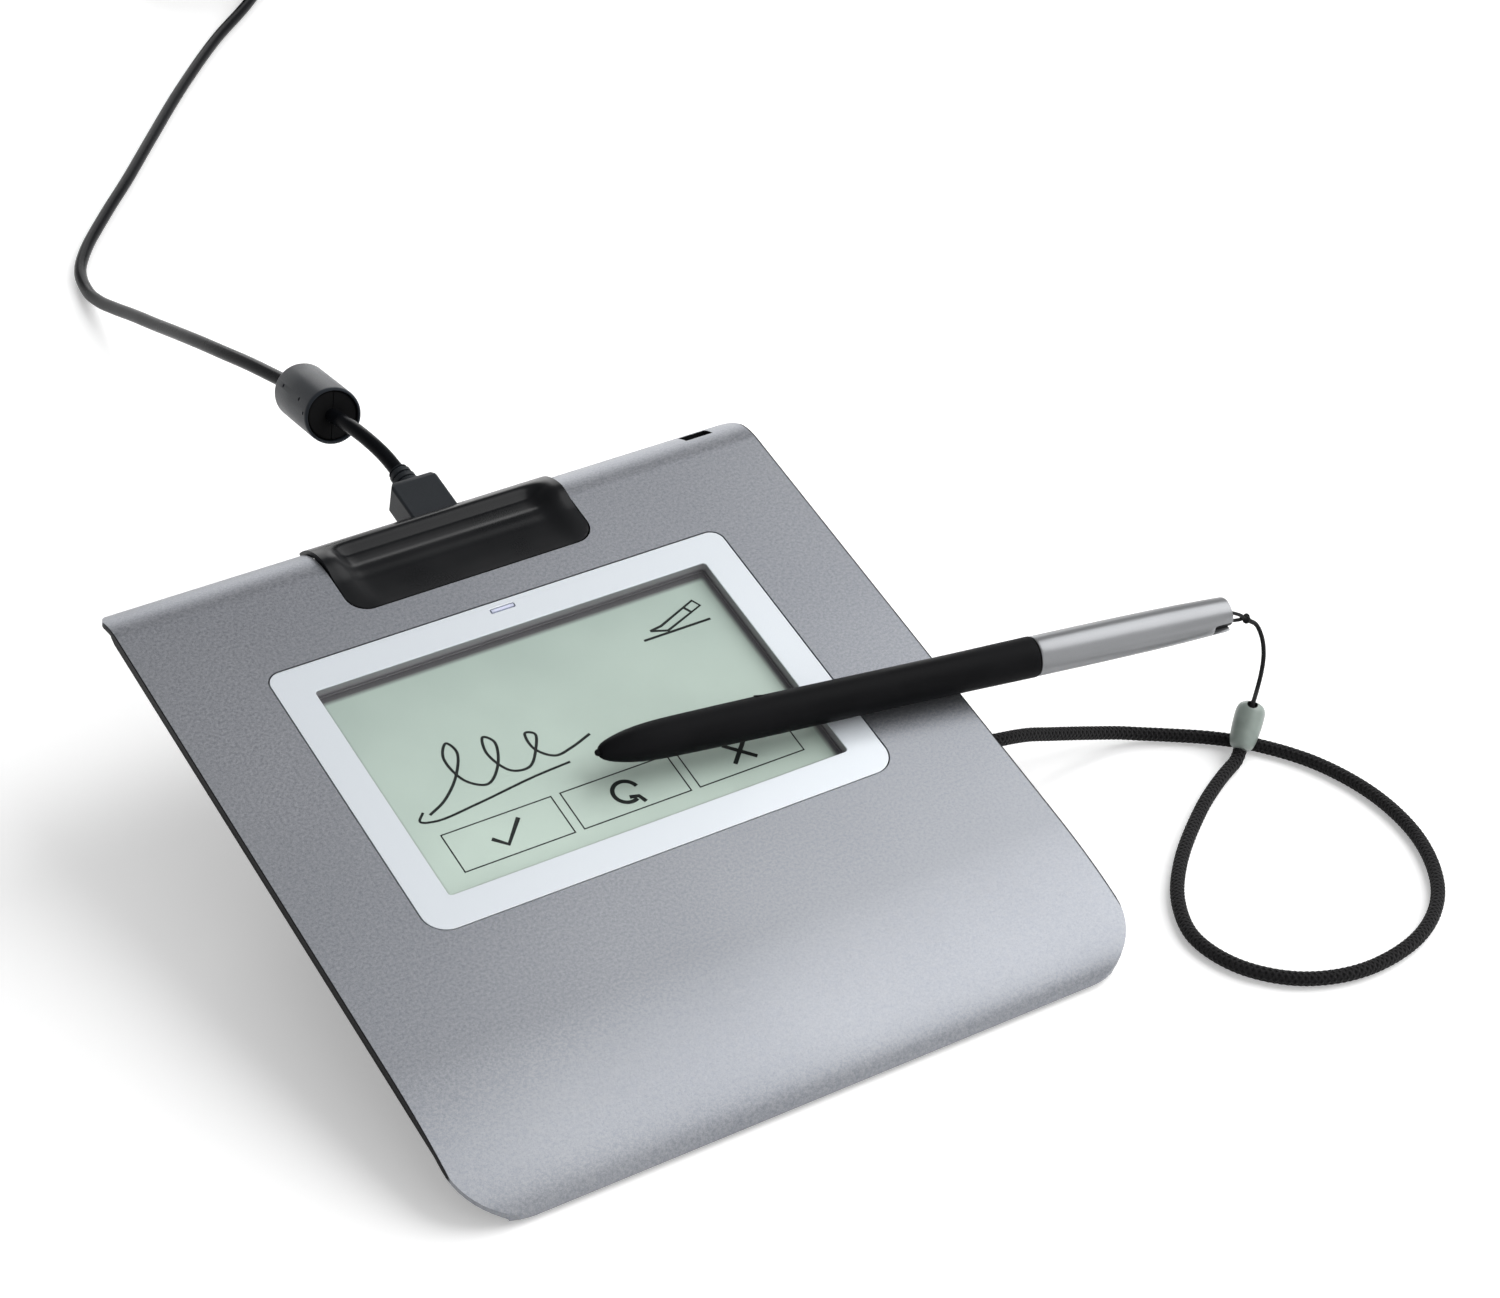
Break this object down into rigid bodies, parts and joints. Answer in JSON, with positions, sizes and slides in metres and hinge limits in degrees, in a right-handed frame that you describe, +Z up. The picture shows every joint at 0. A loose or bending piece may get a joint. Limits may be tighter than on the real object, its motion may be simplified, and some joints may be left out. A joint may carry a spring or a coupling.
{
  "type": "signature pad",
  "caption": "Desk signature pad: tilted flat housing with a framed LCD window, rear pen rest, fold-out stand, tethered pen and a USB lead with a ferrite.",
  "frame": {"origin": "on the desk, at the middle of the front rubber foot's lower face", "axes": "+X to the right of the person who signs, +Y to the rear where the lead leaves, +Z up from the desk; the pad is tilted 15.5 degrees about X on its open stand"},
  "size_m": [0.2434, 0.7307, 0.0613],
  "materials": {
    "cover_paint": "satin metallic grey paint on moulded plastic",
    "bezel_plastic": "satin pale silver",
    "light_pipe_plastic": "clear pale blue",
    "led_package": "gloss white",
    "window_glass": "clear, slightly matt",
    "lcd_glass": "pale green display",
    "black_plastic": "fine texture black",
    "shell_plastic": "fine texture near black",
    "circuit_board": "green solder mask",
    "flat_ribbon": "amber film",
    "plain_steel": "plain bright",
    "screw_steel": "plated",
    "foot_rubber": "matt black",
    "tether_braid": "fine black braid",
    "thread_yarn": "matt black twisted thread",
    "bead_plastic": "clouded grey green",
    "pen_black": "soft satin black",
    "pen_silver": "satin silver paint on moulded plastic",
    "nib_plastic": "smooth dark grey",
    "coil_copper": "wound copper on a rod",
    "plug_plastic": "fine matt dark slate",
    "lead_jacket": "satin black",
    "ferrite_shell": "satin dark grey",
    "ferrite_ceramic": "dull black ceramic",
    "tongue_plastic": "white"
  },
  "bodies": {
    "pad": {"top_cover": "cover_paint", "bezel_frame": "bezel_plastic", "light_pipe": "light_pipe_plastic", "status_led": "led_package", "cover_glass": "window_glass", "lcd_panel": "lcd_glass", "lcd_holder": "black_plastic", "sensor_board": "circuit_board", "shield_plate": "plain_steel", "main_board": "circuit_board", "lcd_ribbon": "flat_ribbon", "usb_socket": "plain_steel", "lock_plate": "plain_steel", "bottom_shell": "shell_plastic", "pen_rest": "black_plastic", "front_foot": "foot_rubber", "rear_foot_left": "foot_rubber", "rear_foot_right": "foot_rubber", "housing_screw_1": "screw_steel", "housing_screw_2": "screw_steel", "housing_screw_3": "screw_steel", "housing_screw_4": "screw_steel", "hinge_pin_left": "screw_steel", "hinge_pin_right": "screw_steel", "tether_anchor": "black_plastic", "tether_stop_knot": "tether_braid", "tether_cord": "tether_braid", "tether_bead": "bead_plastic"},
    "stand": {"stand_leg": "shell_plastic", "stand_foot": "foot_rubber"},
    "pen": {"pen_grip": "pen_black", "pen_barrel": "pen_silver", "pen_end_insert": "black_plastic", "pen_coil": "coil_copper", "pen_board": "circuit_board", "thread_knot": "thread_yarn", "thread_loop": "thread_yarn", "tether_thread": "thread_yarn"},
    "nib": {"pen_nib": "nib_plastic"},
    "usb_lead": {"usb_plug_body": "plug_plastic", "usb_plug_shell": "plain_steel", "usb_plug_collar": "plug_plastic", "usb_cord_short": "lead_jacket", "ferrite_cover": "ferrite_shell", "ferrite_core": "ferrite_ceramic", "usb_cord_run": "lead_jacket", "usb_cord_coil": "lead_jacket", "coil_tie": "black_plastic", "usb_cord_tail": "lead_jacket", "usb_a_relief": "plug_plastic", "usb_a_body": "plug_plastic", "usb_a_shell": "plain_steel", "usb_a_tongue": "tongue_plastic"}
  },
  "joints": [
    {"name": "stand_fold", "type": "hinge", "parent": "pad", "child": "stand", "pos_m": [0, 0.13375, 0.03973], "axis": [-1, 0, 0], "range_deg": [0, 90]},
    {"name": "pen_lift", "type": "slide", "parent": "pad", "child": "pen", "axis": [0, 0, 1], "range_m": [0, 0.03]},
    {"name": "nib_press", "type": "slide", "parent": "pen", "child": "nib", "axis": [0.99, -0.1361, -0.0377], "range_m": [0, 0.0006], "stiffness_N_per_m": 3000},
    {"name": "usb_plug_pull", "type": "slide", "parent": "pad", "child": "usb_lead", "axis": [0, 0.9636, 0.2672], "range_m": [0, 0.007]}
  ]
}
